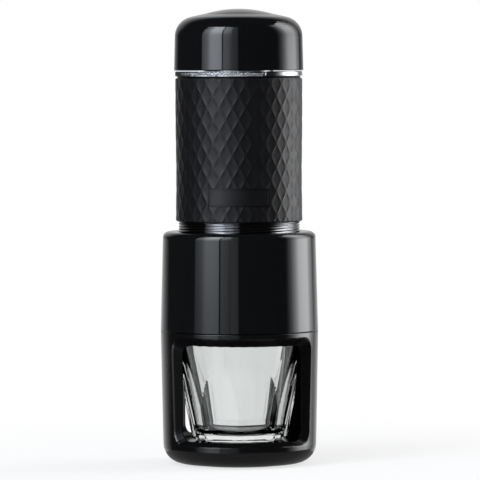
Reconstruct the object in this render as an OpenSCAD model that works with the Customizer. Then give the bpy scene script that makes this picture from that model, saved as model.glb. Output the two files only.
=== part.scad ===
// Handheld manual espresso maker: a press cap drives a piston pump in a water tank,
// the tank screws into a brew housing, and the housing stands on a cup stand with a glass cup.
// Sizes are millimetres. The axis is Z, the stand's foot is at Z = 0, and the stand's windows
// face -Y and +Y.

/* [Cup stand] */
// Height of the stand from the table to its rim
stand_h = 61.5; // [58:0.5:80]
// Outer radius of the maker at the stand's rim, its widest place
body_r = 36.4; // [33:0.1:40]
// How much narrower the stand is just above its rounded foot
foot_taper = 1; // [0.2:0.1:2]
// Radius of the rounding round the foot
foot_round = 9; // [6:0.5:9.5]
// Wall of the stand at the foot
stand_wall = 2.7; // [2:0.1:3]
// Thickness of the floor that carries the cup
floor_t = 2.5; // [2:0.1:4]
// Depth of the hollow under that floor
hollow_h = 7.5; // [6:0.5:9]
// Width of the foot between the stand's side and that hollow
foot_land = 11; // [10:0.5:15]
// Half angle of the front window on the inside of the wall
window_angle = 55; // [35:1:58]
// Half angle of the back window on the inside of the wall
back_window_angle = 47; // [35:1:58]
// Height of the sill between the cup floor and the window
window_sill = 1.5; // [1:0.5:8]
// Distance from the rim down to the window's top edge
window_lintel = 5.8; // [5.5:0.1:15]
// Corner radius of the window on the inside
window_corner = 5; // [2:0.5:10]
// How much wider the window is on the outside, in degrees at each side
flare_angle = 6; // [0:0.5:8]
// How much taller the window is on the outside, at the top
flare_top = 3.2; // [0:0.1:3.5]
// How much taller the window is on the outside, at the bottom
flare_bottom = 2.3; // [0:0.1:3]
// Height of the rubber foot ring below the stand
foot_lift = 0.5; // [0.3:0.1:1]
// Distance from the hollow's side to the rubber foot ring
foot_ring_inset = 1.5; // [1:0.5:4]
// Width of the rubber foot ring
foot_ring_w = 5; // [3:0.5:6]
// Thickness of the plate under the stand
plate_t = 2; // [1.5:0.1:3]
// Number of screws that hold the plate
plate_screws = 3; // [3:1:6]
// Radius of the screws' threads
screw_r = 1.05; // [0.8:0.05:1.5]
// Length of the screws under their heads
screw_l = 5.1; // [4:0.1:5.4]

/* [Glass cup] */
// Distance from the stand's rim down to the cup's rim
cup_headroom = 2; // [1.5:0.5:12]
// Room between the cup's rim and the stand's wall
cup_room = 4.3; // [2.5:0.1:6]
// How much narrower the cup is at its foot
cup_taper = 5; // [3:0.1:8]
// Glass thickness at the rim
cup_wall = 1.8; // [1.5:0.1:3]
// Glass thickness at the bottom
cup_floor = 3.8; // [3:0.1:8]
// How much narrower the cup's inside is at its bottom than the cup's foot
cup_well_step = 6; // [4:0.5:8]
// Number of flat facets round the cup
cup_facets = 8; // [6:1:12]
// Height above the cup's foot up to which neighbouring facets meet
facet_meet = 14; // [6:1:18]
// Distance from the cup's rim down to the facets' arched tops
facet_drop = 11; // [11:1:20]
// How much is taken off the corners where facets meet
facet_corner = 0.35; // [0.1:0.05:0.8]

/* [Brew housing] */
// Height of the housing from the seam to its deck
housing_h = 45.5; // [42:0.5:60]
// How much narrower the housing is at its shoulder
shoulder_taper = 1.1; // [0.2:0.1:2]
// Width of the deck between the housing's shoulder and the neck
deck_w = 7.3; // [7:0.1:9]
// Radius of the rounding at the shoulder
shoulder_round = 2.9; // [2:0.1:6]
// Wall of the housing
housing_wall = 2.4; // [2:0.1:3]
// Dark line left between the housing and the stand
seam_gap = 0.4; // [0.2:0.1:1]
// Depth of the spigot that plugs into the stand
spigot_h = 3; // [2:0.5:4]
// Wall of that spigot
spigot_wall = 1.6; // [1.2:0.1:2]
// Wall of the stand around the spigot
socket_wall = 2.2; // [1.8:0.1:2.6]

/* [Brew chamber and basket] */
// Length of the threaded socket under the deck
thread_h = 11.5; // [9:0.5:16]
// Wall of the threaded socket
chamber_wall = 1.6; // [1.2:0.1:2]
// Height of the chamber's flange, which is its floor
chamber_floor = 3; // [2:0.5:5]
// Room between the basket and the chamber's floor
outlet_room = 4; // [3.5:0.5:6]
// Height of the ring that holds the chamber in the housing
ring_h = 4; // [3:0.5:6]
// How much narrower the coffee basket's wall is than the neck
basket_step = 3; // [2:0.1:4]
// Depth of the basket below its rim
basket_h = 13; // [10:0.5:14]
// Wall of the basket
basket_wall = 0.6; // [0.5:0.1:1]
// Thickness of the basket's rim
basket_rim = 1.2; // [1:0.1:2]
// Radius of the outlet nozzle
nozzle_r = 4.9; // [4:0.1:6]
// Length of the nozzle below the chamber's floor
nozzle_drop = 7.5; // [4:0.5:10]
// Radius of the nozzle's bore
nozzle_bore = 1.6; // [1:0.1:2]

/* [Divider under the tank] */
// Thickness of the divider plate
divider_t = 2.5; // [2:0.1:4]
// Thickness of the gasket on the basket's rim
basket_gasket_t = 1; // [0.6:0.1:1.5]
// Thickness of the gasket under the tank
tank_gasket_t = 1.5; // [1:0.1:2]
// Thickness of the shower screen
screen_t = 0.8; // [0.5:0.1:1]

/* [Tank and grip] */
// Height of the neck that shows between the deck and the grip
neck_show = 4.6; // [3:0.1:8]
// Wall of the neck
neck_wall = 2.9; // [1.8:0.1:3.4]
// How much narrower the tank is than the neck
tank_step = 1.2; // [0.3:0.1:1.6]
// Wall of the tank
tank_wall = 1.6; // [1.2:0.1:2]
// Height of the silicone grip
grip_h = 66.3; // [60:0.1:90]
// Thickness of the grip to the ridges between its diamonds
grip_t = 2.5; // [2:0.1:3.5]
// Depth of the diamonds, which are hollows
diamond_depth = 0.4; // [0.3:0.1:0.8]
// Number of diamonds round the grip
diamonds = 30; // [16:1:36]
// Number of diamonds up the grip
diamond_rows = 6; // [4:1:9]
// Width of the plain panel on the grip
panel_w = 29.6; // [15:0.1:40]
// Height of the plain panel
panel_h = 8.3; // [5:0.1:20]
// Height of the panel's middle above the grip's lower end
panel_z = 11.6; // [8:0.1:40]
// Turn of the panel away from the front window
panel_turn = -3.2; // [-180:0.1:180]

/* [Collar and pump] */
// Height of the chrome collar that shows under the cap
collar_h = 2.9; // [2.5:0.1:5]
// How far the chrome collar stands out from the grip
collar_rim = 0.1; // [0:0.05:0.6]
// Stroke of the press cap
stroke = 30; // [20:1:30]
// Bore radius of the pump
pump_r = 7.5; // [6:0.1:9]
// Wall of the pump's cylinder
pump_wall = 2; // [1.5:0.1:2.5]
// Room for water between the tank and the pump's well
tank_room = 7.1; // [6.5:0.1:8]
// Wall of the plunger tube
tube_wall = 0.9; // [0.7:0.1:1.2]
// Length of the plunger's guide bush
bush_h = 6.4; // [5:0.1:8]
// Radius of the piston rod
rod_r = 3; // [2:0.1:4]
// Height of the piston
piston_h = 8; // [6:0.5:10]
// Radius of the spring's wire
spring_wire = 0.7; // [0.5:0.05:0.9]
// Turns of the return spring
spring_turns = 12; // [8:1:16]
// Radius of the outlet valve's ball
ball_r = 2.2; // [1.8:0.1:2.5]

/* [Press cap] */
// Height of the cap to the top of its disc
cap_h = 28.5; // [24:0.5:36]
// How far the cap's rim stands out from the grip
cap_rim = 0.55; // [0.1:0.05:1]
// How much narrower the cap is where its side ends
cap_taper = 0.4; // [0.1:0.1:1]
// Radius of the rounding at the cap's shoulder
cap_round = 9.2; // [5:0.1:10]
// Wall of the cap
cap_wall = 2.2; // [1.8:0.1:3]
// Distance from the cap's side to the domed disc in its top
disc_edge = 13.3; // [12.5:0.1:18]
// Rise of the disc's dome
disc_rise = 2.35; // [1:0.05:4]

/* [Fits] */
// Radial gap between a piece and the one it is fixed in
fit = 0.1; // [0.05:0.01:0.15]
// Radial gap of a piece that slides in its guide
run = 0.05; // [0.03:0.01:0.08]
// Gap between pieces that move apart
gap = 0.3; // [0.25:0.05:0.4]

/* [Hidden] */
$fn = 96;
arc_steps = 8;

// Heights, from the table up
plate_z = foot_lift + gap;
plate_top = plate_z + plate_t;
floor_under = foot_lift + hollow_h;
floor_z = floor_under + floor_t;
rim_z = stand_h;
spigot_z = rim_z - spigot_h;
housing_z = rim_z + seam_gap;
deck_z = housing_z + housing_h;
deck_under = deck_z - housing_wall;
seat_z = deck_under - thread_h;
basket_z = seat_z - basket_h;
basket_top = seat_z + basket_rim;
chamber_in = basket_z - outlet_room;
chamber_z = chamber_in - chamber_floor;
ring_z = chamber_z - ring_h;
nozzle_z = chamber_z - nozzle_drop;
divider_z = basket_top + basket_gasket_t;
divider_top = divider_z + divider_t;
tank_z = divider_top + tank_gasket_t;
neck_top = deck_z + neck_show;
grip_top = neck_top + grip_h;
collar_top = grip_top + collar_h;
cap_z = collar_top + gap;
cap_top = cap_z + cap_h;

// Outer radii, from the seam down and up
stand_r_foot = body_r - foot_taper;
housing_r = body_r - shoulder_taper;
neck_r = housing_r - deck_w;
tank_r = neck_r - tank_step;
grip_r = tank_r + grip_t;
collar_r = grip_r + collar_rim;
cap_r = grip_r + cap_rim;
cap_r_top = cap_r - cap_taper;
disc_r = cap_r_top - disc_edge;

// Stand and cup
stand_in = stand_r_foot - stand_wall;
hollow_r = stand_r_foot - foot_land;
foot_ring_r = hollow_r - foot_ring_inset;
screw_at = hollow_r / 2;
screw_head_r = 2.6;
screw_head_t = 0.9;
cup_h = rim_z - cup_headroom - floor_z;
cup_r_rim = stand_in - cup_room;
cup_r_base = cup_r_rim - cup_taper;
facet_h = cup_h - facet_drop;

// Radii of the brewer, from the outside in
spigot_r = body_r - socket_wall - gap;
spigot_in = spigot_r - spigot_wall;
housing_in = housing_r - housing_wall;
flange_r = spigot_in - fit;
thread_r = neck_r + gap;
chamber_r = thread_r + chamber_wall;
deck_hole_r = thread_r + fit;
basket_r = neck_r - basket_step;
basket_seat_r = basket_r + gap + fit;
basket_in = basket_r - basket_wall;
basket_rim_r = thread_r - gap - fit;
nozzle_hole_r = nozzle_r + fit;
nozzle_flange_r = nozzle_r + 3.6;
nozzle_seal_t = 1;
tank_in = tank_r - tank_wall;
tail_r = neck_r - neck_wall - fit;
tail_in = tail_r - tank_wall;
grip_in = tank_r + fit;
gasket_r = basket_rim_r - 2 * fit;

// Outlet valve and the spigot that plugs into the divider
cage_spigot_r = 4.9;
cage_outlet_r = 1.2;
cage_bore = ball_r + 0.5;
cage_chamfer = 0.4;
spring_seat_z = tank_z - 0.7;
valve_floor_z = tank_z + 6.8;
seat_r = ball_r - 0.6;
ball_z = valve_floor_z - sqrt(ball_r * ball_r - seat_r * seat_r) - 0.02;
valve_spring_r = 1.5;
valve_wire = 0.2;
valve_spring_top = ball_z - ball_r + 0.57;

// Pump heights: the cylinder above the valve, its plug, and the well round it
valve_wall = 2;
pump_z = valve_floor_z + valve_wall;
inlet_h = 3.5;
inlet_r = 0.9;
inlet_band_t = 0.6;
piston_z = pump_z + fit + inlet_h + 0.8;
pump_top = piston_z + piston_h + stroke + 1;
rod_guide_t = 3;
rod_plug_h = 0.7;
bush_flange_t = 1.5;
bush_z = collar_top - bush_h;
stop_t = 1.5;
stop_z = bush_z - stroke - gap - stop_t;
well_z = stop_z - 3;
well_floor_t = 2;

// Pump radii
cylinder_r = pump_r + pump_wall;
well_wall = 1.2;
bush_t = 0.85;
well_out = tank_in - tank_room;
well_r = well_out - well_wall;
bush_in = well_r - bush_t;
tube_r = bush_in - run;
tube_in = tube_r - tube_wall;
stop_r = well_r - gap - fit;
bush_flange_r = well_r + 1.8;
collar_skirt_r = tank_in - fit;
collar_skirt_in = collar_skirt_r - 2.5;
collar_skirt_z = grip_top - 6.3;
collar_edge = 0.4;
seal_wire = 0.75;
seal_groove_z = collar_skirt_z + 2.2;
pump_flange_t = 2.5;

// Piston
piston_r = pump_r - 0.4;
piston_groove_r = pump_r - 1.9;
piston_groove_z = piston_z + piston_h / 3;
piston_groove_h = 3;
piston_floor = 1;
seal_lip = 0.08;
seal_chamfer = 0.42;

// Plunger and cap
head_t = 4;
head_flange_t = 1.2;
cap_edge_z = cap_top - disc_rise;
cap_floor = cap_edge_z - 1.65;
ceiling_z = cap_floor - 1.5;
head_top = ceiling_z - gap;
tube_top = head_top - head_flange_t;
head_z = tube_top - head_t;
round_z = cap_edge_z - 1.15 - cap_round;
round_c = cap_r_top - cap_round;
round_end = 78;
boss_h = 14.5;
boss_in = tube_r + gap;
boss_r = boss_in + 1.7;

// Points along an arc about c from angle a0 to a1
function arc(c, r, a0, a1, steps = arc_steps) =
    [for (i = [0:steps]) let(a = a0 + (a1 - a0) * i / steps) [c[0] + r * cos(a), c[1] + r * sin(a)]];

// Outer radius of the stand at height z
function stand_r(z) = let(low = foot_lift + foot_round)
    stand_r_foot + foot_taper * (z - low) / (rim_z - low);

// A ring with a plain rectangular section
module ring(r_in, r_out, z, h) {
    translate([0, 0, z])
        difference() {
            cylinder(r = r_out, h = h);
            translate([0, 0, -1])
                cylinder(r = r_in, h = h + 2);
        }
}

// A round-section ring
module oring(r, wire_r, z) {
    translate([0, 0, z])
        rotate_extrude()
            translate([r, 0])
                circle(r = wire_r, $fn = 24);
}

// Copies of the children in rings of 6, 12, 18 and so on about one in the middle
module ring_pattern(rings, pitch) {
    children();
    for (k = [1:rings])
        for (i = [0:6 * k - 1])
            rotate([0, 0, 60 * i / k])
                translate([k * pitch, 0, 0])
                    children();
}

// An unbroken helical wire between the heights z0 and z1
module coil(r, wire_r, z0, z1, turns, per_turn = 16, sides = 6) {
    steps = turns * per_turn;
    climb = (z1 - z0 - 2 * wire_r) / steps;
    points = [for (i = [0:steps]) for (k = [0:sides - 1])
        let(a = 360 * i / per_turn, b = 360 * k / sides, d = r + wire_r * cos(b))
        [d * cos(a), d * sin(a), z0 + wire_r + climb * i + wire_r * sin(b)]];
    walls = [for (i = [0:steps - 1]) for (k = [0:sides - 1])
        let(n = (k + 1) % sides, p = i * sides, q = p + sides)
        each [[p + k, p + n, q + n], [p + k, q + n, q + k]]];
    first = [for (k = [sides - 1:-1:0]) k];
    last = [for (k = [0:sides - 1]) steps * sides + k];
    echo(least_gap = climb * per_turn - 2 * wire_r);
    polyhedron(points, concat(walls, [first, last]));
}

// Outline of a rounded window on a cylinder of radius r: half angle a, from z0 to z1, corner radius c
function window_outline(r, a, z0, z1, c, edge = 10, bend = 6) =
    let(w = a - c / r * 180 / PI,
        flat = function(x, z) [r * sin(x), -r * cos(x), z],
        corner = function(sx, zc, from) [for (i = [0:bend]) let(t = from + 90 * i / bend)
            flat(sx * w + c / r * 180 / PI * cos(t), zc + c * sin(t))],
        run_x = function(x0, x1, z) [for (i = [1:edge - 1]) flat(x0 + (x1 - x0) * i / edge, z)])
    concat(corner(1, z1 - c, 0), run_x(w, -w, z1), corner(-1, z1 - c, 90),
        corner(-1, z0 + c, 180), run_x(-w, w, z0), corner(1, z0 + c, 270));

// The space cut by a flared window of a given half angle, from inside the wall to outside it
module window_cut(half) {
    wall_out = stand_r(rim_z / 2);
    past = 1.5;
    section = function(r) let(t = (r - stand_in) / (wall_out - stand_in))
        window_outline(r, half + flare_angle * t,
            floor_z + window_sill - flare_bottom * t,
            rim_z - window_lintel + flare_top * t,
            window_corner * (1 + 0.3 * t));
    inner = section(stand_in - past);
    outer = section(body_r + past);
    n = len(inner);
    mid_z = (floor_z + rim_z) / 2;
    walls = [for (i = [0:n - 1]) let(j = (i + 1) % n) each [[i, n + j, j], [i, n + i, n + j]]];
    inside = [for (i = [0:n - 1]) [2 * n, i, (i + 1) % n]];
    outside = [for (i = [0:n - 1]) [2 * n + 1, n + (i + 1) % n, n + i]];
    polyhedron(concat(inner, outer, [[0, -stand_in / 6, mid_z], [0, -3 * body_r, mid_z]]),
        concat(walls, inside, outside));
}

// Moulded shell with a floor for the cup, a socket for the brewer and two windows
module stand_shell() {
    fillet = 2;
    socket_r = spigot_r + gap;
    color([0.05, 0.05, 0.055]) {
        difference() {
            rotate_extrude()
                polygon(concat(
                    [[hollow_r, foot_lift]],
                    arc([stand_r_foot - foot_round, foot_lift + foot_round], foot_round, -90, 0),
                    [[body_r, rim_z], [socket_r, rim_z], [socket_r, spigot_z], [stand_in, spigot_z]],
                    arc([stand_in - fillet, floor_z + fillet], fillet, 0, -90, 4),
                    [[0, floor_z], [0, floor_under], [hollow_r, floor_under]]));
            window_cut(window_angle);
            rotate([0, 0, 180])
                window_cut(back_window_angle);
        }
        for (i = [0:plate_screws - 1])
            rotate([0, 0, 360 * i / plate_screws])
                translate([screw_at, 0, 0])
                    ring(screw_r + fit / 2, 3 * screw_r, plate_top, floor_under - plate_top + fit);
    }
}

// Plate that closes the hollow under the stand
module base_plate() {
    color([0.07, 0.07, 0.075])
        difference() {
            translate([0, 0, plate_z])
                cylinder(r = hollow_r - fit, h = plate_t);
            for (i = [0:plate_screws - 1])
                rotate([0, 0, 360 * i / plate_screws])
                    translate([screw_at, 0, plate_z - 1]) {
                        cylinder(r = screw_r + 4 * fit, h = plate_t + 2);
                        cylinder(r = screw_head_r + 2 * fit, h = 1 + fit + screw_head_t);
                    }
        }
}

// Self-tapping screws, their heads sunk in the plate
module base_screws() {
    color([0.7, 0.7, 0.72])
        for (i = [0:plate_screws - 1])
            rotate([0, 0, 360 * i / plate_screws])
                translate([screw_at, 0, plate_z + fit])
                    difference() {
                        union() {
                            cylinder(r = screw_head_r, h = screw_head_t);
                            cylinder(r = screw_r, h = screw_head_t + screw_l);
                        }
                        for (turn = [0, 90])
                            rotate([0, 0, turn])
                                cube([screw_head_r, screw_r / 2, screw_head_t], center = true);
                    }
}

// Rubber ring that the stand rests on
module foot_ring() {
    edge = 0.3;
    color([0.03, 0.03, 0.03])
        rotate_extrude()
            polygon([[foot_ring_r - foot_ring_w, plate_z], [foot_ring_r - foot_ring_w, edge],
                [foot_ring_r - foot_ring_w + edge, 0], [foot_ring_r - edge, 0],
                [foot_ring_r, edge], [foot_ring_r, plate_z]]);
}

// Heavy glass with flat facets that meet at its foot and end in arches
module glass_cup() {
    half = 180 / cup_facets;
    slope = cup_taper / cup_h;
    meet_r = (cup_r_base + slope * facet_meet) * cos(half);
    arch_r = cup_r_base + slope * facet_h;
    lean = (arch_r - meet_r) / (facet_h - facet_meet);
    corner_r = (meet_r - lean * facet_meet) / cos(half) - facet_corner;
    corner_lean = lean / cos(half);
    corner_top = (cup_r_base - corner_r) / (corner_lean - slope);
    kick = 0.6;
    foot_bend = 2.5;
    foot_r = corner_r + corner_lean * foot_bend;
    rim_bend = cup_wall / 2;
    well_bend = 6;
    in_r = cup_r_base - cup_well_step;
    rim_in = cup_r_rim - cup_wall - 0.3;
    color([0.85, 0.9, 0.92, 0.35])
        translate([0, 0, floor_z])
            difference() {
                rotate_extrude()
                    polygon(concat(
                        [[0, kick], [foot_r - foot_bend - 1.5, kick], [foot_r - foot_bend - 0.9, 0]],
                        arc([foot_r - foot_bend, foot_bend], foot_bend, -90, 0, 6),
                        [[cup_r_base + slope * corner_top, corner_top]],
                        arc([cup_r_rim - rim_bend, cup_h - rim_bend], rim_bend, 0, 180, 8),
                        [[rim_in, cup_h - 3]],
                        arc([in_r - well_bend, cup_floor + well_bend], well_bend, 0, -90, 6),
                        [[0, cup_floor]]));
                for (i = [0:cup_facets - 1])
                    rotate([0, 0, panel_turn + 270 + (2 * i + 1) * half])
                        translate([meet_r, 0, facet_meet])
                            rotate([0, atan(lean), 0])
                                translate([0, -cup_h / 2, -cup_h / 2])
                                    cube([cup_h / 2, cup_h, 2 * cup_h]);
            }
}

// Outer shell of the brewer: spigot, thread land, chamber seat, tapered wall, shoulder and deck
module housing_shell() {
    rib_r = chamber_r + gap;
    rib_top = chamber_in + 2;
    edge = 0.3;
    bend = shoulder_round / 2;
    color([0.03, 0.03, 0.035])
        rotate_extrude()
            polygon(concat(
                [[spigot_in, spigot_z], [spigot_r - edge, spigot_z], [spigot_r, spigot_z + edge],
                 [spigot_r, housing_z], [body_r, housing_z]],
                arc([housing_r - shoulder_round, deck_z - shoulder_round], shoulder_round, 0, 86),
                [[deck_hole_r + edge, deck_z], [deck_hole_r, deck_z - edge], [deck_hole_r, deck_under]],
                arc([housing_in - bend, deck_under - bend], bend, 90, 0, 4),
                [[housing_in, rib_top], [rib_r, rib_top], [rib_r, chamber_in], [spigot_in, chamber_in]]));
}

// Cup that takes the basket and the neck's thread, with a flange for its floor
module brew_chamber() {
    belt_r = basket_seat_r + 2;
    color([0.25, 0.25, 0.27])
        rotate_extrude()
            polygon([[nozzle_hole_r, chamber_z], [flange_r, chamber_z], [flange_r, chamber_in],
                [chamber_r, chamber_in], [chamber_r, chamber_in + 3], [belt_r, chamber_in + 4],
                [belt_r, seat_z - 2.5], [chamber_r, seat_z - 1.5], [chamber_r, deck_under],
                [thread_r, deck_under], [thread_r, seat_z], [basket_seat_r, seat_z],
                [basket_seat_r, chamber_in], [nozzle_hole_r, chamber_in]]);
}

// Ring screwed in below the chamber's flange, with notches for a pin wrench
module retaining_ring() {
    ring_in = spigot_in - 4;
    notch_w = 3;
    color([0.08, 0.08, 0.085])
        difference() {
            ring(ring_in, flange_r, ring_z, ring_h);
            for (i = [0:5])
                rotate([0, 0, 60 * i])
                    translate([ring_in - 0.5, -notch_w / 2, ring_z - 1])
                        cube([2, notch_w, ring_h + 2]);
        }
}

// Spout under the basket
module outlet_nozzle() {
    seal_top = chamber_in + nozzle_seal_t;
    top = seal_top + 1.5;
    edge = 1;
    funnel = 1.2;
    color([0.75, 0.75, 0.77])
        rotate_extrude()
            polygon([[nozzle_bore, nozzle_z + edge], [nozzle_bore + edge, nozzle_z],
                [nozzle_r - edge, nozzle_z], [nozzle_r, nozzle_z + edge], [nozzle_r, seal_top],
                [nozzle_flange_r, seal_top], [nozzle_flange_r, top], [nozzle_bore + funnel, top],
                [nozzle_bore, top - funnel]]);
}

// Flat seal under the nozzle's flange
module nozzle_seal() {
    color([0.6, 0.1, 0.08])
        ring(nozzle_hole_r, nozzle_flange_r - 0.2, chamber_in, nozzle_seal_t);
}

// Coffee basket: a straight wall with a rim that rests in the chamber
module filter_basket() {
    ledge_z = basket_top - screen_t;
    ledge_r = basket_r + gap;
    lip_r = basket_in - 1.9;
    lip_top = basket_z + 1;
    color([0.78, 0.78, 0.8])
        rotate_extrude()
            polygon([[lip_r, basket_z], [basket_r, basket_z], [basket_r, seat_z], [basket_rim_r, seat_z],
                [basket_rim_r, basket_top], [ledge_r, basket_top], [ledge_r, ledge_z],
                [basket_in, ledge_z], [basket_in, lip_top], [lip_r, lip_top]]);
}

// Perforated disc in the bottom of the basket
module filter_plate() {
    color([0.8, 0.8, 0.82])
        translate([0, 0, basket_z + 1])
            difference() {
                cylinder(r = basket_in - fit, h = 0.5);
                translate([0, 0, -1])
                    ring_pattern(4, basket_r / 5)
                        cylinder(r = 0.5, h = 3, $fn = 16);
            }
}

// Plate that closes the tank's lower end, with a socket for the pump's spigot
module divider_plate() {
    socket_r = cage_spigot_r + gap;
    dish_in = socket_r + 2.3;
    dish_out = tail_in - 1;
    dish = 0.6;
    color([0.2, 0.2, 0.21])
        rotate_extrude()
            polygon([[socket_r, divider_z], [basket_rim_r, divider_z], [basket_rim_r, divider_top],
                [dish_out, divider_top], [dish_out - dish, divider_top - dish],
                [dish_in + dish, divider_top - dish], [dish_in, divider_top], [socket_r, divider_top]]);
}

// Gasket between the basket's rim and the divider
module basket_gasket() {
    color([0.6, 0.1, 0.08])
        ring(basket_in, gasket_r, basket_top, basket_gasket_t);
}

// Perforated disc that spreads the water over the coffee
module shower_screen() {
    color([0.8, 0.8, 0.82])
        translate([0, 0, basket_top - screen_t])
            difference() {
                cylinder(r = basket_r, h = screen_t);
                translate([0, 0, -1])
                    ring_pattern(4, basket_r / 4.8)
                        cylinder(r = 0.7, h = 3, $fn = 16);
            }
}

// Gasket between the divider and the tank's lower end
module tank_gasket() {
    color([0.6, 0.1, 0.08])
        ring(tail_in - 0.2, gasket_r, divider_top, tank_gasket_t);
}

// Ring that seals the pump's spigot in the divider
module spigot_oring() {
    wire_r = 0.98 * tank_gasket_t / 2;
    color([0.05, 0.05, 0.05])
        oring(cage_spigot_r + fit + wire_r + 0.1, wire_r, divider_top + tank_gasket_t / 2);
}

// Water tank: an open tube, narrower inside the neck
module tank_body() {
    step = tank_in - tail_in;
    color([0.3, 0.32, 0.34])
        rotate_extrude()
            polygon([[tail_in, tank_z], [tail_r, tank_z], [tail_r, neck_top], [tank_r, neck_top],
                [tank_r, grip_top], [tank_in, grip_top], [tank_in, neck_top + step + 1],
                [tail_in, neck_top + 1]]);
}

// Chrome collar round the tank's lower end, which carries the thread
module threaded_neck() {
    neck_in = neck_r - neck_wall;
    edge = 0.6;
    color([0.85, 0.85, 0.87])
        rotate_extrude()
            polygon([[neck_in, tank_z], [neck_r - edge, tank_z], [neck_r, tank_z + edge],
                [neck_r, neck_top], [neck_in, neck_top]]);
}

// Wedge of a ring, used for the panel on the grip
module panel_block(r_in, r_out, w, h) {
    half = asin(w / 2 / grip_r);
    rotate([0, 0, 270 + panel_turn - half])
        translate([0, 0, neck_top + panel_z - h / 2])
            rotate_extrude(angle = 2 * half)
                translate([r_in, 0])
                    square([r_out - r_in, h]);
}

// Silicone grip whose surface is a lattice of shallow diamond-shaped hollows
module grip_sleeve() {
    columns = 2 * diamonds;
    rows = 2 * diamond_rows;
    bevel = 0.7;
    low_r = grip_r - diamond_depth;
    panel_r = grip_r - diamond_depth / 2;
    pitch = (grip_h - 2 * bevel) / rows;
    ring_points = function(z, radius) [for (i = [0:columns - 1])
        let(a = 360 * i / columns) [radius(i) * cos(a), radius(i) * sin(a), z]];
    points = concat(
        ring_points(0, function(i) low_r - bevel),
        [for (j = [0:rows])
            each ring_points(bevel + j * pitch, function(i) (i + j) % 2 == 0 ? low_r : grip_r)],
        ring_points(grip_h, function(i) low_r - bevel));
    at = function(i, j) j * columns + i % columns;
    faces = [for (j = [0:rows + 1]) for (i = [0:columns - 1])
        let(a = at(i, j), b = at(i + 1, j), c = at(i + 1, j + 1), d = at(i, j + 1))
        each (i + j) % 2 == 1 ? [[a, d, c], [a, c, b]] : [[a, d, b], [d, c, b]]];
    bottom = [for (i = [0:columns - 1]) i];
    top = [for (i = [columns - 1:-1:0]) at(i, rows + 2)];
    color([0.06, 0.06, 0.065])
        difference() {
            union() {
                difference() {
                    translate([0, 0, neck_top])
                        rotate([0, 0, panel_turn])
                            polyhedron(points, concat(faces, [bottom, top]));
                    panel_block(low_r - 0.2, grip_r + 2, panel_w, panel_h);
                }
                panel_block(grip_in + 0.5, panel_r, panel_w - 1.6, panel_h - 1.6);
            }
            translate([0, 0, neck_top - 1])
                cylinder(r = grip_in, h = grip_h + 2);
        }
}

// Chrome collar that closes the tank's top and guides the plunger
module top_collar() {
    groove_r = collar_skirt_r - 2 * seal_wire;
    groove_top = seal_groove_z + 2 * seal_wire + fit;
    bore_r = well_r + fit;
    seat_z = collar_top - bush_flange_t;
    color([0.85, 0.85, 0.87])
        rotate_extrude()
            polygon([[bore_r, grip_top], [collar_skirt_in, grip_top], [collar_skirt_in, collar_skirt_z],
                [collar_skirt_r - collar_edge, collar_skirt_z],
                [collar_skirt_r, collar_skirt_z + collar_edge],
                [collar_skirt_r, seal_groove_z], [groove_r, seal_groove_z],
                [groove_r, groove_top], [collar_skirt_r, groove_top],
                [collar_skirt_r, grip_top], [collar_r - collar_edge, grip_top],
                [collar_r, grip_top + collar_edge], [collar_r, collar_top - collar_edge],
                [collar_r - collar_edge, collar_top], [bush_flange_r + fit, collar_top],
                [bush_flange_r + fit, seat_z], [bore_r, seat_z]]);
}

// Ring that seals the collar in the tank
module collar_seal() {
    color([0.05, 0.05, 0.05])
        oring(tank_in - fit / 2 - seal_wire, seal_wire, seal_groove_z + fit / 2 + seal_wire);
}

// Flanged plastic bush that the plunger slides in
module guide_bush() {
    seat_z = collar_top - bush_flange_t;
    color([0.1, 0.1, 0.1])
        rotate_extrude()
            polygon([[bush_in, bush_z], [well_r - run, bush_z], [well_r - run, seat_z],
                [bush_flange_r, seat_z], [bush_flange_r, collar_top], [bush_in, collar_top]]);
}

// Pump: the cylinder, the well round it for the plunger tube, and the flange under the collar
module pump_barrel() {
    flange_z = grip_top - pump_flange_t;
    flange_r = collar_skirt_in - fit;
    well_under = well_z - well_floor_t;
    color([0.5, 0.52, 0.55])
        difference() {
            rotate_extrude()
                polygon([[pump_r, tank_z], [cylinder_r, tank_z], [cylinder_r, well_under],
                    [well_out, well_under], [well_out, flange_z], [flange_r, flange_z], [flange_r, grip_top],
                    [well_r, grip_top], [well_r, well_z], [cylinder_r, well_z], [cylinder_r, pump_top],
                    [pump_r, pump_top], [pump_r, pump_z], [seat_r, pump_z], [seat_r, valve_floor_z],
                    [pump_r, valve_floor_z]]);
            for (i = [0:5])
                rotate([0, 0, 60 * i])
                    translate([pump_r - 1, 0, pump_z + inlet_h / 2])
                        rotate([0, 90, 0])
                            cylinder(r = inlet_r, h = pump_wall + 2, $fn = 24);
        }
}

// Plug that closes the cylinder and guides the rod
module rod_guide() {
    bore_r = rod_r + run;
    plug_r = pump_r - fit;
    guide_top = pump_top + rod_guide_t;
    color([0.1, 0.1, 0.1])
        rotate_extrude()
            polygon([[bore_r, pump_top - rod_plug_h], [plug_r, pump_top - rod_plug_h], [plug_r, pump_top],
                [cylinder_r, pump_top], [cylinder_r, guide_top], [bore_r, guide_top]]);
}

// Silicone band that covers the inlet holes from the inside
module inlet_valve() {
    color([0.7, 0.7, 0.7])
        ring(pump_r - fit - inlet_band_t, pump_r - fit, pump_z + fit, inlet_h);
}

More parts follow.
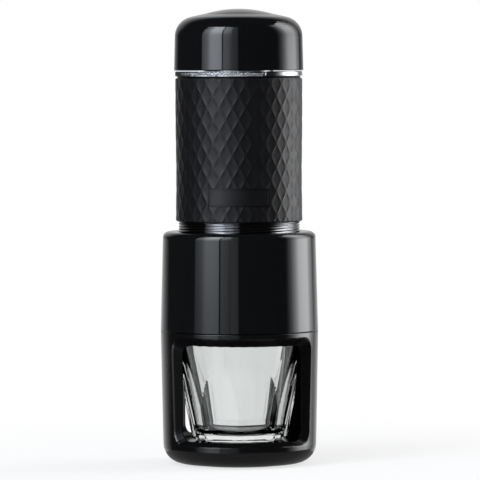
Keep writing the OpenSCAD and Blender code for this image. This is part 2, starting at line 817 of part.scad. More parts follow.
// Cage of the outlet valve, with the spigot that plugs into the divider
module valve_cage() {
    spigot_low = divider_z + 0.2;
    cage_r = pump_r - fit;
    color([0.75, 0.75, 0.77])
        rotate_extrude()
            polygon([[cage_outlet_r, spigot_low], [cage_spigot_r - cage_chamfer, spigot_low],
                [cage_spigot_r, spigot_low + cage_chamfer], [cage_spigot_r, tank_z], [cage_r, tank_z],
                [cage_r, valve_floor_z], [cage_bore, valve_floor_z], [cage_bore, spring_seat_z],
                [cage_outlet_r, spring_seat_z]]);
}

// Ball of the outlet valve, pressed up against the pump's floor
module valve_ball() {
    color([0.8, 0.8, 0.82])
        translate([0, 0, ball_z])
            sphere(r = ball_r);
}

// Spring under the ball
module valve_spring() {
    color([0.8, 0.8, 0.82])
        coil(valve_spring_r, valve_wire, spring_seat_z, valve_spring_top, 4);
}

// Spring that lifts the press cap
module return_spring() {
    color([0.8, 0.8, 0.82])
        coil((cylinder_r + tube_in) / 2, spring_wire, well_z, head_z, spring_turns);
}

// Chrome tube that telescopes out of the collar, with a stop flange at its foot
module plunger_tube() {
    color([0.85, 0.85, 0.87])
        rotate_extrude()
            polygon([[tube_in, stop_z], [stop_r, stop_z], [stop_r, stop_z + stop_t],
                [tube_r, stop_z + stop_t], [tube_r, tube_top], [tube_in, tube_top]]);
}

// Plug in the tube's top that holds the rod and seats the spring
module plunger_head() {
    bore_r = rod_r + run;
    plug_r = tube_in - run;
    color([0.12, 0.12, 0.12])
        rotate_extrude()
            polygon([[bore_r, head_z], [plug_r, head_z], [plug_r, tube_top], [tube_r, tube_top],
                [tube_r, head_top], [0, head_top], [0, tube_top], [bore_r, tube_top]]);
}

// Steel rod between the plunger's head and the piston
module piston_rod() {
    rod_z = piston_z + piston_floor;
    color([0.8, 0.8, 0.82])
        translate([0, 0, rod_z])
            cylinder(r = rod_r, h = tube_top - rod_z);
}

// Piston with a groove for its seal
module piston_head() {
    bore_r = rod_r + run;
    edge = 0.6;
    top = piston_z + piston_h;
    groove_top = piston_groove_z + piston_groove_h;
    color([0.85, 0.85, 0.83])
        rotate_extrude()
            polygon([[0, piston_z], [piston_r - edge, piston_z], [piston_r, piston_z + edge],
                [piston_r, piston_groove_z], [piston_groove_r, piston_groove_z],
                [piston_groove_r, groove_top], [piston_r, groove_top], [piston_r, top], [bore_r, top],
                [bore_r, piston_z + piston_floor], [0, piston_z + piston_floor]]);
}

// Cup seal of the piston
module piston_seal() {
    seal_in = piston_groove_r + run;
    lip_r = pump_r - seal_lip;
    low = piston_groove_z + fit;
    top = piston_groove_z + piston_groove_h - fit;
    color([0.05, 0.05, 0.05])
        rotate_extrude()
            polygon([[seal_in, low], [lip_r - seal_chamfer, low], [lip_r, low + seal_chamfer],
                [lip_r, top - seal_chamfer], [lip_r - seal_chamfer, top], [seal_in, top]]);
}

// Domed press cap with a boss that turns on the plunger tube
module press_cap() {
    inner_round = cap_round - cap_wall;
    edge = 0.3;
    recess_r = disc_r + 0.15;
    color([0.03, 0.03, 0.035])
        rotate_extrude()
            polygon(concat(
                [[cap_r - cap_wall, cap_z], [cap_r - edge, cap_z], [cap_r, cap_z + edge]],
                arc([round_c, round_z], cap_round, 0, round_end, 12),
                [[recess_r + edge, cap_edge_z - 0.1], [recess_r, cap_edge_z - 0.1 - edge],
                 [recess_r, cap_floor], [0, cap_floor], [0, ceiling_z],
                 [boss_in, ceiling_z], [boss_in, ceiling_z - boss_h], [boss_r, ceiling_z - boss_h],
                 [boss_r, ceiling_z]],
                arc([round_c, round_z], inner_round, round_end, 0, 12)));
}

// Domed disc set in the cap's top
module cap_disc() {
    side_r = disc_r - 0.05;
    edge = 0.3;
    edge_r = side_r - edge;
    dome = (edge_r * edge_r + disc_rise * disc_rise) / (2 * disc_rise);
    spread = asin(edge_r / dome);
    color([0.04, 0.04, 0.045])
        rotate_extrude()
            polygon(concat([[0, cap_floor], [side_r, cap_floor], [side_r, cap_edge_z - edge]],
                arc([0, cap_top - dome], dome, 90 - spread, 90, 10)));
}

stand_shell();
base_plate();
base_screws();
foot_ring();
glass_cup();
housing_shell();
brew_chamber();
retaining_ring();
outlet_nozzle();
nozzle_seal();
filter_basket();
filter_plate();
divider_plate();
basket_gasket();
shower_screen();
tank_gasket();
spigot_oring();
tank_body();
threaded_neck();
grip_sleeve();
top_collar();
collar_seal();
guide_bush();
pump_barrel();
rod_guide();
inlet_valve();
valve_cage();
valve_ball();
valve_spring();
return_spring();
plunger_tube();
plunger_head();
piston_rod();
piston_head();
piston_seal();
press_cap();
cap_disc();
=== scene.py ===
import math

import bmesh
import bpy
from mathutils import Matrix, Vector


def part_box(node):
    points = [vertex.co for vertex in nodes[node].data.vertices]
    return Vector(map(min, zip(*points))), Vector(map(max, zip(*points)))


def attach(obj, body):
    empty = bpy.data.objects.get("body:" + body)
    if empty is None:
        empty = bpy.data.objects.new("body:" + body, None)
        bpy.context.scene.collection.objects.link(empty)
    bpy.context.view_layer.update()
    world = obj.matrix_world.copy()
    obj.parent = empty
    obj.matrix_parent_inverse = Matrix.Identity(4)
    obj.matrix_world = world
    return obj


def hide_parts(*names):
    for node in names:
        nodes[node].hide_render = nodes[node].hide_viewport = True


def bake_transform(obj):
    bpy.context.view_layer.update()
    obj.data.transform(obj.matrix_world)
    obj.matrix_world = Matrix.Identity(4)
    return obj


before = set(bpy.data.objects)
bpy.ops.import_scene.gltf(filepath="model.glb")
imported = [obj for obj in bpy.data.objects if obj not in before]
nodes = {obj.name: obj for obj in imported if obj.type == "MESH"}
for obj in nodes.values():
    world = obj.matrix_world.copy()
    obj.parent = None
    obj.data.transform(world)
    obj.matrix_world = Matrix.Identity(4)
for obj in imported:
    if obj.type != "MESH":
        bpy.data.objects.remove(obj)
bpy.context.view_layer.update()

scene = bpy.context.scene
scene.view_settings.view_transform = "Standard"
MM = 0.001


# ---- Table, studio and camera -------------------------------------------------------------------
# The maker stands on a small round white table in front of a white sweep. Three tall softboxes
# stand from its left round to its front, and one from its right to a little behind it. The rest of
# the room is dark, as black gloss plastic needs.

def linear(code):
    """An sRGB hex colour as Blender's linear numbers."""
    parts = [int(code[i:i + 2], 16) / 255 for i in (1, 3, 5)]
    return tuple(c / 12.92 if c <= 0.04045 else ((c + 0.055) / 1.055) ** 2.4 for c in parts) + (1.0,)


def add(tree, kind, inputs=None, **settings):
    """Adds a shader node, sets its settings, and fills its inputs with numbers or with links."""
    node = tree.nodes.new("ShaderNode" + kind)
    for name, value in settings.items():
        setattr(node, name, value)
    for name, value in (inputs or {}).items():
        if isinstance(value, bpy.types.NodeSocket):
            tree.links.new(value, node.inputs[name])
        else:
            node.inputs[name].default_value = value
    return node


def mesh_piece(name, verts, faces, smooth=True):
    """A mesh object from points in millimetres."""
    mesh = bpy.data.meshes.new(name)
    mesh.from_pydata([(x * MM, y * MM, z * MM) for x, y, z in verts], [], faces)
    mesh.validate()
    mesh.polygons.foreach_set("use_smooth", [smooth] * len(mesh.polygons))
    mesh.update()
    piece = bpy.data.objects.new(name, mesh)
    scene.collection.objects.link(piece)
    return piece


# The camera stands 1.9 m away, 3.2 degrees to the left of the front, and looks slightly down.
CAMERA_TURN = 3.2
CAMERA_AWAY = 1900.0
CAMERA_HEIGHT = 181.0
FRAME_WIDTH = 221.8
AIM_RIGHT, AIM_UP = 0.36, 103.3
ROLL = 0.17
SENSOR = 36.0

to_camera = Vector((-math.sin(math.radians(CAMERA_TURN)), -math.cos(math.radians(CAMERA_TURN)), 0))
to_right = Vector((-to_camera.y, to_camera.x, 0))
eye = (to_camera * CAMERA_AWAY + Vector((0, 0, CAMERA_HEIGHT))) * MM
aim = (to_right * AIM_RIGHT + Vector((0, 0, AIM_UP))) * MM
lens = bpy.data.cameras.new("camera")
lens.sensor_width = SENSOR
lens.lens = SENSOR * (aim - eye).length / (FRAME_WIDTH * MM)
lens.clip_end = 50.0
camera = bpy.data.objects.new("camera", lens)
scene.collection.objects.link(camera)
look = (aim - eye).to_track_quat("-Z", "Y").to_matrix().to_4x4()
camera.matrix_world = Matrix.Translation(eye) @ look @ Matrix.Rotation(math.radians(-ROLL), 4, "Z")
scene.camera = camera


def seen_directly(tree, ray):
    """1 for what the camera sees itself or through glass, and 0 for the rest."""
    return add(tree, "Math", {0: ray.outputs["Is Camera Ray"], 1: ray.outputs["Is Transmission Ray"]},
               operation="MAXIMUM").outputs["Value"]


# The sweep is white to the eye. In mirror images it is bright only behind the maker, where the cosine
# from straight behind grows from SWEEP_EDGE to SWEEP_CORE, and it is narrower where a ray runs about level.
SWEEP_EDGE, SWEEP_CORE = 0.58, 0.92
SWEEP_DARK, SWEEP_BRIGHT = 0.02, 0.75
LEVEL_NARROWS = 0.17
NARROWING_UP, NARROWING_DOWN = (-0.05, 0.01), (0.05, 0.35)
ROOM_LEVEL = 0.42

world = bpy.data.worlds.new("studio")
scene.world = world
world.use_nodes = True
tree = world.node_tree
tree.nodes.clear()
ray = add(tree, "LightPath")
place = add(tree, "TexCoord")
behind = add(tree, "VectorMath", {0: place.outputs["Generated"], 1: -to_camera}, operation="DOT_PRODUCT")
up = add(tree, "SeparateXYZ", {"Vector": place.outputs["Generated"]}).outputs["Z"]
from_below = add(tree, "MapRange", {"Value": up, "From Min": NARROWING_UP[0], "From Max": NARROWING_UP[1],
                                    "To Min": 0.0, "To Max": LEVEL_NARROWS})
to_above = add(tree, "MapRange", {"Value": up, "From Min": NARROWING_DOWN[0], "From Max": NARROWING_DOWN[1],
                                  "To Min": 1.0, "To Max": 0.0})
narrowed = add(tree, "Math", {0: from_below.outputs["Result"], 1: to_above.outputs["Result"]},
               operation="MULTIPLY")
within = add(tree, "Math", {0: behind.outputs["Value"], 1: narrowed.outputs["Value"]}, operation="SUBTRACT")
sweep = add(tree, "MapRange", {"Value": within.outputs["Value"], "From Min": SWEEP_EDGE,
                               "From Max": SWEEP_CORE, "To Min": SWEEP_DARK, "To Max": SWEEP_BRIGHT})
room = add(tree, "Mix", {"Factor": ray.outputs["Is Glossy Ray"], "A": ROOM_LEVEL,
                         "B": sweep.outputs["Result"]}, data_type="FLOAT")
level = add(tree, "Mix", {"Factor": seen_directly(tree, ray), "A": room.outputs["Result"], "B": 1.0},
            data_type="FLOAT")
glow = add(tree, "Background", {"Color": (1, 1, 1, 1), "Strength": level.outputs["Result"]})
add(tree, "OutputWorld", {"Surface": glow.outputs["Background"]})

# The table's own white keeps the maker's shadow round the foot, and fades into the sweep farther out.
TABLE_R = 330.0
TABLE_SIDES = 120
TABLE_TOP = -0.02
FADE_FROM, FADE_TO = 50, 300
GLOW_NEAR = 0.7
# Painted shade: the radius and level of the table's fixed dim glow in mirror images round the foot.
PAINTED_SHADE_R = 47
PAINTED_SHADE_LEVEL = 0.22

corners = [math.radians(360 / TABLE_SIDES * i) for i in range(TABLE_SIDES)]
table = mesh_piece("table_top",
                   [(TABLE_R * math.cos(turn), TABLE_R * math.sin(turn), TABLE_TOP) for turn in corners],
                   [tuple(range(TABLE_SIDES))], smooth=False)
white = bpy.data.materials.new("white_table")
white.use_nodes = True
tree = white.node_tree
tree.nodes.clear()
ray = add(tree, "LightPath")
spot = add(tree, "TexCoord").outputs["Object"]
reach = add(tree, "VectorMath", {0: spot}, operation="LENGTH").outputs["Value"]
fade = add(tree, "MapRange", {"Value": reach, "From Min": FADE_FROM * MM, "From Max": FADE_TO * MM,
                              "To Min": GLOW_NEAR, "To Max": 1.0}, interpolation_type="SMOOTHSTEP")
share = add(tree, "Math", {0: seen_directly(tree, ray), 1: fade.outputs["Result"]}, operation="MULTIPLY")
paint = add(tree, "BsdfDiffuse", {"Color": linear("#f4f4f4")})
light = add(tree, "Emission", {"Color": (1, 1, 1, 1), "Strength": 1.0})
both = add(tree, "MixShader", {0: share.outputs["Value"], 1: paint.outputs["BSDF"],
                               2: light.outputs["Emission"]})
# In mirror images the table is a fixed dim glow round the foot, painted shade that stands in for the shaded
# table there. Farther out it is clear, so that the panels' images run on downwards.
shade = add(tree, "Emission", {"Color": (1, 1, 1, 1), "Strength": PAINTED_SHADE_LEVEL})
away = add(tree, "Math", {0: reach, 1: PAINTED_SHADE_R * MM}, operation="GREATER_THAN")
image = add(tree, "MixShader", {0: away.outputs["Value"], 1: shade.outputs["Emission"],
                                2: add(tree, "BsdfTransparent").outputs["BSDF"]})
seen = add(tree, "MixShader", {0: ray.outputs["Is Glossy Ray"], 1: both.outputs["Shader"],
                               2: image.outputs["Shader"]})
add(tree, "OutputMaterial", {"Surface": seen.outputs["Shader"]})
table.data.materials.append(white)

SOFTBOX_R = 1300
SOFTBOX_HEIGHTS = (-1300, 1700)
SOFTBOX_STEPS = 24


def softbox(name, azimuths, across, upward, power, tint):
    """A tall lit panel round the maker, from one azimuth to another, left to right as the camera sees it.
    Across and upward give its brightness at shares of its width and of its height."""
    verts, faces = [], []
    for i in range(SOFTBOX_STEPS + 1):
        turn = math.radians(azimuths[0] + (azimuths[1] - azimuths[0]) * i / SOFTBOX_STEPS)
        side = to_camera * math.cos(turn) + to_right * math.sin(turn)
        for z in SOFTBOX_HEIGHTS:
            verts.append((side.x * SOFTBOX_R, side.y * SOFTBOX_R, z))
        if i:
            faces.append((2 * i - 2, 2 * i, 2 * i + 1, 2 * i - 1))
    panel = mesh_piece(name, verts, faces, smooth=False)
    layer = panel.data.uv_layers.new(name="panel")
    for loop in panel.data.loops:
        step, top = divmod(loop.vertex_index, 2)
        layer.data[loop.index].uv = (step / SOFTBOX_STEPS, top)
    cloth = bpy.data.materials.new(name)
    cloth.use_nodes = True
    tree = cloth.node_tree
    tree.nodes.clear()
    where = add(tree, "SeparateXYZ", {"Vector": add(tree, "TexCoord").outputs["UV"]})
    shades = []
    for axis, stops in (("X", across), ("Y", upward)):
        shade = add(tree, "ValToRGB", {"Fac": where.outputs[axis]})
        points = shade.color_ramp.elements
        while len(points) < len(stops):
            points.new(0.5)
        for point, (place, level) in zip(points, stops):
            point.position = place
            point.color = (level, level, level, 1.0)
        shades.append(shade.outputs["Color"])
    glow = add(tree, "Mix", {"Factor": 1.0, "A": shades[0], "B": shades[1]}, data_type="RGBA",
               blend_type="MULTIPLY")
    strength = add(tree, "Math", {0: glow.outputs["Result"], 1: power}, operation="MULTIPLY")
    light = add(tree, "Emission", {"Color": linear(tint), "Strength": strength.outputs["Value"]})
    add(tree, "OutputMaterial", {"Surface": light.outputs["Emission"]})
    panel.data.materials.append(cloth)
    panel.visible_camera = False
    panel.visible_transmission = False


# The panels reach from 1.3 m under the table top to 1.7 m over it, and are dim below the maker.
softbox("softbox_left", (-68.5, -30),
        across=[(0.0, 0.22), (0.13, 0.32), (0.31, 0.5), (0.42, 0.85), (0.55, 1.0), (0.8, 0.96), (1.0, 0.82)],
        upward=[(0.0, 0.03), (0.143, 0.22), (0.3, 0.15), (0.4, 0.14), (0.45, 0.185), (0.461, 0.25),
                (0.517, 0.56), (0.72, 1.0), (1.0, 1.0)], power=8.7, tint="#f0f7ff")
softbox("softbox_front", (-27.7, -12),
        across=[(0.0, 1.0), (0.3, 0.85), (0.6, 0.75), (1.0, 0.4)],
        upward=[(0.0, 0.05), (0.143, 0.28), (0.3, 0.12), (0.4, 0.13), (0.45, 0.19), (0.461, 0.22),
                (0.517, 0.42), (0.72, 1.0), (1.0, 1.0)], power=4.3, tint="#f0f7ff")
softbox("softbox_middle", (-12, -1.5),
        across=[(0.0, 0.62), (1.0, 0.42)],
        upward=[(0.0, 0.2), (0.4, 0.7), (0.461, 1.0), (1.0, 1.3)], power=1.0, tint="#f0f7ff")
softbox("softbox_right", (70, 138),
        across=[(0.0, 0.0), (0.07, 0.02), (0.18, 0.16), (0.3, 0.5), (0.43, 1.0), (0.57, 0.96), (0.73, 0.77),
                (0.82, 0.4), (0.92, 0.2), (1.0, 0.12)],
        upward=[(0.0, 0.1), (0.2, 0.1), (0.3, 0.15), (0.375, 0.7), (0.43, 0.88), (0.461, 1.0), (0.48, 1.0),
                (0.52, 0.6), (0.72, 0.85), (1.0, 0.7)], power=6.5, tint="#fcfdff")


# ---- Cup stand ----------------------------------------------------------------------------------
# The stand is injection-moulded ABS with a fine spark-eroded texture, which gives it a satin black
# instead of the brewer's gloss. A plate under three screws closes it, and it rests on a rubber ring.

def surface(name, colour, roughness, metallic=0.0, ior=None):
    """A new Principled material: its node tree and its shader node."""
    material = bpy.data.materials.new(name)
    material.use_nodes = True
    tree = material.node_tree
    shader = tree.nodes["Principled BSDF"]
    shader.inputs["Base Color"].default_value = linear(colour)
    shader.inputs["Roughness"].default_value = roughness
    shader.inputs["Metallic"].default_value = metallic
    if ior:
        shader.inputs["IOR"].default_value = ior
    return material, tree, shader


def grain(tree, size, detail=2.0, stretch=(1, 1, 1)):
    """Noise whose grains are about size millimetres across, in the piece's own space."""
    spot = add(tree, "TexCoord")
    scaled = add(tree, "Mapping", {"Vector": spot.outputs["Object"], "Scale": stretch})
    return add(tree, "TexNoise", {"Vector": scaled.outputs["Vector"], "Scale": 1 / (size * MM),
                                  "Detail": detail, "Roughness": 0.55}).outputs["Fac"]


def rough_and_bumped(tree, shader, rough, coarse, fine, height, edge=None, stretches=((1, 1, 1), (1, 1, 1))):
    """Roughness that varies over coarse grains, and a bump of fine grains, in millimetres. An edge radius
    rounds what the light shows of sharp edges. Noise lies mostly between 0.3 and 0.7."""
    patches = add(tree, "MapRange", {"Value": grain(tree, coarse, stretch=stretches[0]), "From Min": 0.3,
                                     "From Max": 0.7, "To Min": rough[0], "To Max": rough[1]})
    tree.links.new(patches.outputs["Result"], shader.inputs["Roughness"])
    relief = add(tree, "Bump", {"Height": grain(tree, fine, stretch=stretches[1]), "Strength": 1.0,
                                "Distance": height * MM})
    if edge:
        rounded = add(tree, "Bevel", {"Radius": edge * MM}, samples=6)
        tree.links.new(rounded.outputs["Normal"], relief.inputs["Normal"])
    tree.links.new(relief.outputs["Normal"], shader.inputs["Normal"])


def dress(material, *names):
    """Puts a material on CAD nodes."""
    for name in names:
        slots = nodes[name].material_slots
        if not slots:
            nodes[name].data.materials.append(material)
        for slot in slots:
            slot.material = material


def off_axis(tree):
    """A point's distance from the maker's axis, and its height."""
    spot = add(tree, "SeparateXYZ", {"Vector": add(tree, "TexCoord").outputs["Object"]})
    flat = add(tree, "CombineXYZ", {"X": spot.outputs["X"], "Y": spot.outputs["Y"]})
    reach = add(tree, "VectorMath", {0: flat.outputs["Vector"]}, operation="LENGTH")
    return reach.outputs["Value"], spot.outputs["Z"]


WALL_FOOT_R, WALL_RIM_R, WALL_H = 35.4, 36.4, 61.5
# Painted shade in the windows' recesses: how far inside the outer wall it begins and is full, the height
# above the foot where it starts, and the specular levels of the plain wall and of the shaded recess.
SHADE_INSET_FROM, SHADE_INSET_TO = 0.3, 0.8
FOOT_FROM, FOOT_TO = 7, 9
MOULD_GLOSS, RECESS_SHADE_GLOSS = 0.5, 0.04

# Spark-eroded texture is about 0.1 mm; it is drawn at 0.5 mm so that it shows as satin.
satin_abs, tree, shader = surface("satin_black_abs", "#0b0b0c", roughness=0.12, ior=1.53)
rough_and_bumped(tree, shader, rough=(0.09, 0.15), coarse=9.0, fine=0.5, height=0.002, edge=0.5)
# Painted shade: above the foot, all that lies inside the outer wall (the windows' edges and the inside) gets
# a low specular level, which darkens these recesses.
reach, height = off_axis(tree)
wall_r = add(tree, "MapRange", {"Value": height, "From Min": 0.0, "From Max": WALL_H * MM,
                                "To Min": WALL_FOOT_R * MM, "To Max": WALL_RIM_R * MM})
inset = add(tree, "Math", {0: wall_r.outputs["Result"], 1: reach}, operation="SUBTRACT")
recess_shade = add(tree, "MapRange", {"Value": inset.outputs["Value"], "From Min": SHADE_INSET_FROM * MM,
                                "From Max": SHADE_INSET_TO * MM, "To Min": MOULD_GLOSS, "To Max": RECESS_SHADE_GLOSS})
above_foot = add(tree, "MapRange", {"Value": height, "From Min": FOOT_FROM * MM, "From Max": FOOT_TO * MM})
gloss_with_painted_shade = add(tree, "Mix", {"Factor": above_foot.outputs["Result"], "A": MOULD_GLOSS,
                          "B": recess_shade.outputs["Result"]}, data_type="FLOAT")
tree.links.new(gloss_with_painted_shade.outputs["Result"], shader.inputs["Specular IOR Level"])
dress(satin_abs, "stand_shell")

# The plate under the stand is the same plastic, coarser and a little greyer.
coarse_abs, tree, shader = surface("coarse_black_abs", "#141416", roughness=0.4, ior=1.53)
rough_and_bumped(tree, shader, rough=(0.34, 0.46), coarse=6.0, fine=0.4, height=0.02)
dress(coarse_abs, "base_plate", "retaining_ring")

# Zinc-plated screws: a soft grey metal with a little mottling from the plating.
zinc, tree, shader = surface("zinc_plated_steel", "#a9a9a6", roughness=0.3, metallic=1.0)
rough_and_bumped(tree, shader, rough=(0.24, 0.4), coarse=1.2, fine=0.2, height=0.003)
dress(zinc, "base_screws")

# Moulded rubber: dull, nearly black, with a dusty bloom.
rubber, tree, shader = surface("moulded_rubber", "#121212", roughness=0.7, ior=1.52)
rough_and_bumped(tree, shader, rough=(0.62, 0.8), coarse=4.0, fine=0.3, height=0.01)
dress(rubber, "foot_ring", "collar_seal", "spigot_oring", "piston_seal")


# ---- Glass cup ----------------------------------------------------------------------------------
# The cup is pressed soda-lime glass with a thick bottom and eight ground and polished facets.
# The glass is clear, with the faint waviness that pressing leaves.

def turned(name, profile, steps, shape=None, first=0.0, ring=True):
    """A shape turned from an outline of (radius, height) in millimetres, bent by shape if given. A ring's
    outline closes on itself; one that starts and ends on the axis makes a solid."""
    verts, faces = [], []
    count = len(profile)
    for i in range(steps):
        turn = first + 2 * math.pi * i / steps
        for r, z in profile:
            if shape:
                r, z = shape(r, z, turn)
            verts.append((r * math.cos(turn), r * math.sin(turn), z))
        after = (i + 1) % steps
        for k in range(count if ring else count - 1):
            n = (k + 1) % count
            faces.append((i * count + k, after * count + k, after * count + n, i * count + n))
    piece = mesh_piece(name, verts, faces)
    if not ring:
        joined = bmesh.new()
        joined.from_mesh(piece.data)
        bmesh.ops.remove_doubles(joined, verts=joined.verts, dist=0.001 * MM)
        joined.to_mesh(piece.data)
        joined.free()
    return piece


def ladder(low, high, step):
    """Heights from low to high, about step apart."""
    count = max(1, round((high - low) / step))
    return [low + (high - low) * i / count for i in range(count + 1)]


def bow(middle, r, start, end, steps):
    """Points of an arc about a middle, from a start to an end angle in degrees."""
    angles = [math.radians(start + (end - start) * i / steps) for i in range(steps + 1)]
    return [(middle[0] + r * math.cos(a), middle[1] + r * math.sin(a)) for a in angles]


def crease(piece, angle):
    """Smooth shading that breaks at edges sharper than an angle."""
    for face in piece.data.polygons:
        face.use_smooth = True
    shaped = bmesh.new()
    shaped.from_mesh(piece.data)
    for edge in shaped.edges:
        edge.smooth = edge.is_manifold and edge.calc_face_angle(0.0) < math.radians(angle)
    shaped.to_mesh(piece.data)
    shaped.free()


CUP_FOOT_R, CUP_RIM_R = 23.4, 28.4
CUP_IN_FOOT_R, CUP_IN_RIM_R = 17.4, 26.3
CUP_FLOOR = 3.8
CUP_STEPS = 240
CUP_ROW, CUP_IN_ROW = 0.5, 1.0
CUP_BEND_STEPS, WELL_STEPS = 8, 10
WELL = 6.0
FOOT_BEND = 2.5
FOOT_FLAT_R = 19.6
SIDE_LOW = 3.0
RIM_BEND = 0.9
RIM_OUT_H, RIM_IN_H = 1.5, 3
FACETS = 8
FACETS_MEET, FACETS_END = 14.0, 38.0
CORNER = 0.35
PUNT, PUNT_R, PUNT_STEPS = 0.6, 18.8, 8
# The cup and the grip stand turned a little, with a facet's corner and the panel towards the left.
TURNED_LEFT = 3.2
FRONT_TURN = math.radians(270 - TURNED_LEFT)
cup_low, cup_high = (corner.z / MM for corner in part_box("glass_cup"))
cup_h = cup_high - cup_low


def cup_side(z):
    """Radius of the cup's round side at a height above its foot."""
    return CUP_FOOT_R + (CUP_RIM_R - CUP_FOOT_R) * z / cup_h


def facet_reach(z):
    """Distance of the flat facets from the axis at a height above the cup's foot."""
    low = cup_side(FACETS_MEET) * math.cos(math.pi / FACETS)
    return low + (cup_side(FACETS_END) - low) * (z - FACETS_MEET) / (FACETS_END - FACETS_MEET)


def faceted(r, z, turn):
    """Grinds the flat facets and takes the edge off the corners between them."""
    part = 2 * math.pi / FACETS
    off = (turn - FRONT_TURN) % part - part / 2
    up = z - cup_low
    reach = min(facet_reach(up) / math.cos(off), facet_reach(up) / math.cos(part / 2) - CORNER)
    if up < FOOT_BEND:
        reach -= FOOT_BEND - math.sqrt(FOOT_BEND ** 2 - (FOOT_BEND - up) ** 2)
    return min(r, reach), z


well_top = CUP_FLOOR + WELL
inside_top = cup_h - RIM_IN_H
# From the punt under the foot, up the outside, over the rim, and down the inside to the floor's middle.
outline = [(PUNT_R * i / PUNT_STEPS, PUNT * (1 - 0.9 * (i / PUNT_STEPS) ** 2))
           for i in range(PUNT_STEPS + 1)]
outline += [(FOOT_FLAT_R, 0.0)]
outline += bow((CUP_FOOT_R - FOOT_BEND, FOOT_BEND), FOOT_BEND, -90, 0, CUP_BEND_STEPS)
outline += [(cup_side(z), z) for z in ladder(SIDE_LOW, cup_h - RIM_OUT_H, CUP_ROW)]
outline += bow((CUP_RIM_R - RIM_BEND, cup_h - RIM_BEND), RIM_BEND, 0, 180, CUP_BEND_STEPS)
outline += [(CUP_IN_FOOT_R + (CUP_IN_RIM_R - CUP_IN_FOOT_R) * (z - well_top) / (inside_top - well_top), z)
            for z in reversed(ladder(well_top + CUP_IN_ROW, inside_top, CUP_IN_ROW))]
outline += bow((CUP_IN_FOOT_R - WELL, well_top), WELL, 0, -90, WELL_STEPS) + [(0.0, CUP_FLOOR)]
cup = turned("pressed_cup", [(r, cup_low + z) for r, z in outline], CUP_STEPS, faceted, first=FRONT_TURN,
             ring=False)
crease(cup, 10)

cup_glass, tree, shader = surface("pressed_clear_glass", "#ebedec", roughness=0.0, ior=1.52)
shader.inputs["Transmission Weight"].default_value = 1.0
waves = add(tree, "Bump", {"Height": grain(tree, 14.0, detail=0.0, stretch=(1, 1, 0.5)), "Strength": 1.0,
                           "Distance": 0.05 * MM})
tree.links.new(waves.outputs["Normal"], shader.inputs["Normal"])
cup.data.materials.append(cup_glass)
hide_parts("glass_cup")
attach(cup, "cup")


# ---- Brew housing -------------------------------------------------------------------------------
# The housing is gloss black ABS from a polished mould, like the press cap on top of the maker.
# Inside it a plastic chamber with a thread takes the basket and the tank, a ring holds the
# chamber, and a steel spout drips into the cup.

# Painted shade at the seam: the spigot's radius and top, the width of the blend, and the low specular level
# painted there.
SPIGOT_R, SPIGOT_TOP = 36.1, 62.1
SPIGOT_BLEND = 0.1
SEAM_SHADE_GLOSS = 0.02

# Polished ABS mirrors the studio; the mould leaves an orange peel of about 2 mm that only just shows.
gloss_abs, tree, shader = surface("polished_black_abs", "#0b0c0d", roughness=0.05, ior=1.5)
rough_and_bumped(tree, shader, rough=(0.03, 0.075), coarse=12.0, fine=2.2, height=0.0009, edge=0.4)
# Painted shade: the spigot that enters the stand gets a low specular level, so the seam shows as the dark
# line of the gap's shade.
reach, height = off_axis(tree)
wide = add(tree, "MapRange", {"Value": reach, "From Min": SPIGOT_R * MM,
                              "From Max": (SPIGOT_R + SPIGOT_BLEND) * MM})
above = add(tree, "MapRange", {"Value": height, "From Min": SPIGOT_TOP * MM,
                               "From Max": (SPIGOT_TOP + SPIGOT_BLEND) * MM})
outside = add(tree, "Math", {0: wide.outputs["Result"], 1: above.outputs["Result"]}, operation="MAXIMUM")
gloss_with_painted_shade = add(tree, "MapRange", {"Value": outside.outputs["Value"], "To Min": SEAM_SHADE_GLOSS,
                               "To Max": MOULD_GLOSS})
tree.links.new(gloss_with_painted_shade.outputs["Result"], shader.inputs["Specular IOR Level"])
dress(gloss_abs, "housing_shell", "press_cap", "cap_disc")

# Nylon with glass fibres: a dark grey, matt from the fibres near its surface.
dark_plastic, tree, shader = surface("glass_filled_nylon", "#232325", roughness=0.42, ior=1.53)
rough_and_bumped(tree, shader, rough=(0.34, 0.5), coarse=5.0, fine=0.35, height=0.012)
dress(dark_plastic, "brew_chamber", "guide_bush", "rod_guide", "plunger_head")

# Turned and polished stainless steel, with a faint unevenness from the lathe.
turned_steel, tree, shader = surface("turned_stainless_steel", "#bdbbb6", roughness=0.22, metallic=1.0)
rough_and_bumped(tree, shader, rough=(0.16, 0.3), coarse=2.5, fine=0.35, height=0.002)
dress(turned_steel, "outlet_nozzle", "piston_rod", "valve_ball")

# Red silicone seals, matt from the mould.
red_silicone, tree, shader = surface("red_silicone", "#8c1d14", roughness=0.5, ior=1.43)
rough_and_bumped(tree, shader, rough=(0.42, 0.6), coarse=4.0, fine=0.4, height=0.01)
dress(red_silicone, "nozzle_seal", "basket_gasket", "tank_gasket")


# ---- Coffee basket ------------------------------------------------------------------------------
# The basket is deep-drawn stainless steel with a punched plate in its bottom. The screen that
# spreads the water is punched from the same sheet.

# Drawn sheet: fine brushing round and up, drawn at 0.6 mm where the real one is about 0.1 mm.
drawn_steel, tree, shader = surface("drawn_stainless_steel", "#c2c0bb", roughness=0.3, metallic=1.0)
rough_and_bumped(tree, shader, rough=(0.22, 0.4), coarse=0.6, fine=0.6, height=0.0012,
                 stretches=((1, 1, 0.1), (0.08, 0.08, 1)))
dress(drawn_steel, "filter_basket", "filter_plate", "shower_screen")


# ---- Divider and water tank ---------------------------------------------------------------------
# The divider and the pump are food-grade grey plastic. The tank is a smoky grey copolyester tube,
# and the grip and the neck hide all of it but its lower end.

